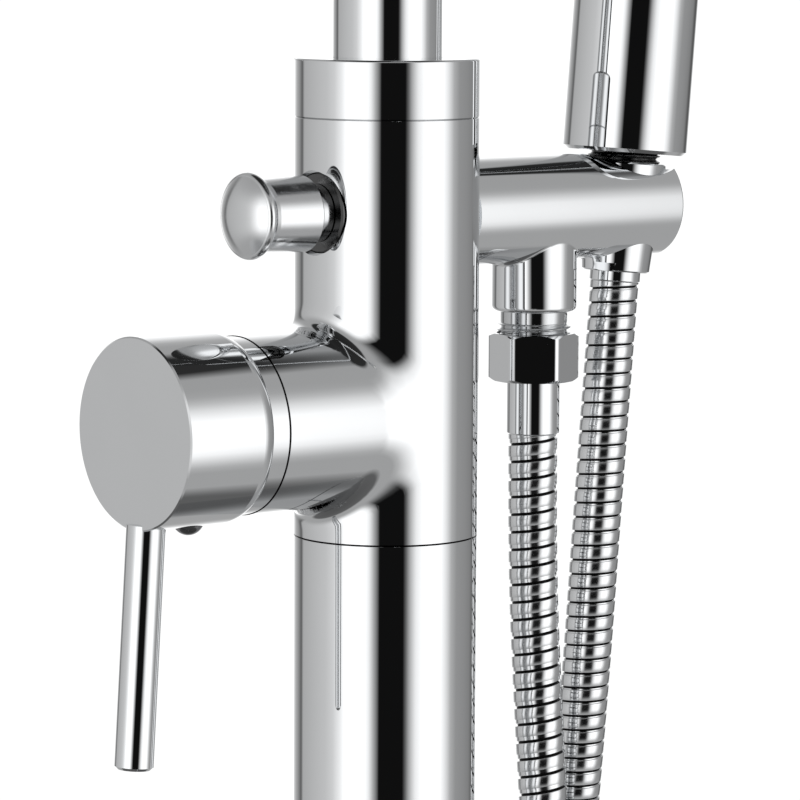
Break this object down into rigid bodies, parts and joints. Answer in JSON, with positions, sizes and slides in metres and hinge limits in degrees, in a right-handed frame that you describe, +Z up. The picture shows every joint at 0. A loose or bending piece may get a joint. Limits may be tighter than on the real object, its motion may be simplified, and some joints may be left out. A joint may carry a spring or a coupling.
{
  "type": "floor-standing bath filler",
  "caption": "Floor-standing chrome bath filler: column with lever mixer, pull diverter, gooseneck spout and a hand shower on a metal hose.",
  "frame": {"origin": "centre of the floor plate's underside, on the column's axis", "axes": "+Z up the column, +X along the hand-shower arm, -X along the mixer handle, -Y towards the spout's outlet"},
  "size_m": [0.2118, 0.3021, 1.122],
  "materials": {
    "chrome": "mirror-polished chrome plate on brass",
    "dark_chrome": "dark plated metal",
    "smoked_chrome": "dark polished plug",
    "hose_metal": "polished strip-wound hose",
    "zinc_steel": "zinc-plated steel",
    "steel": "stainless steel",
    "brass": "turned brass",
    "plastic": "moulded acetal",
    "rubber": "black nitrile rubber",
    "silicone": "soft grey silicone",
    "ceramic": "lapped alumina"
  },
  "bodies": {
    "root": {"floor_plate": "zinc_steel", "floor_cover": "chrome", "lower_column": "chrome", "column_screws": "steel", "column_seal": "rubber", "cold_inlet": "brass", "hot_inlet": "brass", "cold_supply_tube": "brass", "hot_supply_tube": "brass", "mixer_body": "chrome", "collar": "chrome", "spout_bush": "plastic", "cartridge_body": "plastic", "cartridge_seals": "rubber", "fixed_disc": "ceramic", "cartridge_nut": "brass", "trim_ring": "chrome", "diverter_seat": "brass", "diverter_bush": "dark_chrome", "diverter_seals": "rubber", "diverter_spring": "steel", "holder_arm": "chrome", "arm_union": "brass", "outlet_nipple": "chrome", "check_valve": "plastic", "hose_nut": "chrome", "hose_washer": "rubber", "hose_ferrule": "chrome", "hose": "hose_metal"},
    "spout": {"spout_tube": "chrome", "spout_foot": "brass", "spout_seal": "rubber", "aerator_housing": "chrome", "aerator_insert": "plastic", "aerator_washer": "rubber"},
    "rotor": {"cartridge_rotor": "plastic", "pivot_pin": "steel", "moving_disc": "ceramic"},
    "handle": {"cartridge_spindle": "brass", "handle_cap": "chrome", "handle_lever": "chrome", "handle_grub_screw": "steel", "handle_plug": "smoked_chrome"},
    "diverter": {"diverter_knob": "chrome", "diverter_rod": "brass", "diverter_valve": "rubber"},
    "hose_end": {"hose_end": "chrome"},
    "handset": {"cone_nut": "chrome", "cone_washer": "rubber", "handset_inlet": "dark_chrome", "handset_shell": "chrome", "handset_water_tube": "plastic", "spray_chamber": "plastic", "spray_plate": "chrome", "spray_nozzles": "silicone"}
  },
  "joints": [
    {"name": "spout_swivel", "type": "hinge", "parent": "root", "child": "spout", "pos_m": [0, 0, 0.88], "axis": [0, 0, 1], "range_deg": [-60, 60]},
    {"name": "mixer_turn", "type": "hinge", "parent": "root", "child": "rotor", "pos_m": [-0.033, 0, 0.7825], "axis": [-1, 0, 0], "range_deg": [-45, 45]},
    {"name": "mixer_lift", "type": "hinge", "parent": "rotor", "child": "handle", "pos_m": [-0.033, 0, 0.7825], "axis": [0, 1, 0], "range_deg": [0, 20]},
    {"name": "diverter_pull", "type": "slide", "parent": "root", "child": "diverter", "axis": [-1, 0, 0], "range_m": [0, 0.008], "stiffness_N_per_m": 400, "deforming": ["diverter_spring"]},
    {"name": "handset_lift", "type": "slide", "parent": "root", "child": "hose_end", "axis": [0.0872, 0, 0.9962], "range_m": [0, 0.03]},
    {"name": "handset_turn", "type": "hinge", "parent": "hose_end", "child": "handset", "pos_m": [0.085, 0, 0.8367], "axis": [0.0872, 0, 0.9962], "continuous": true}
  ]
}
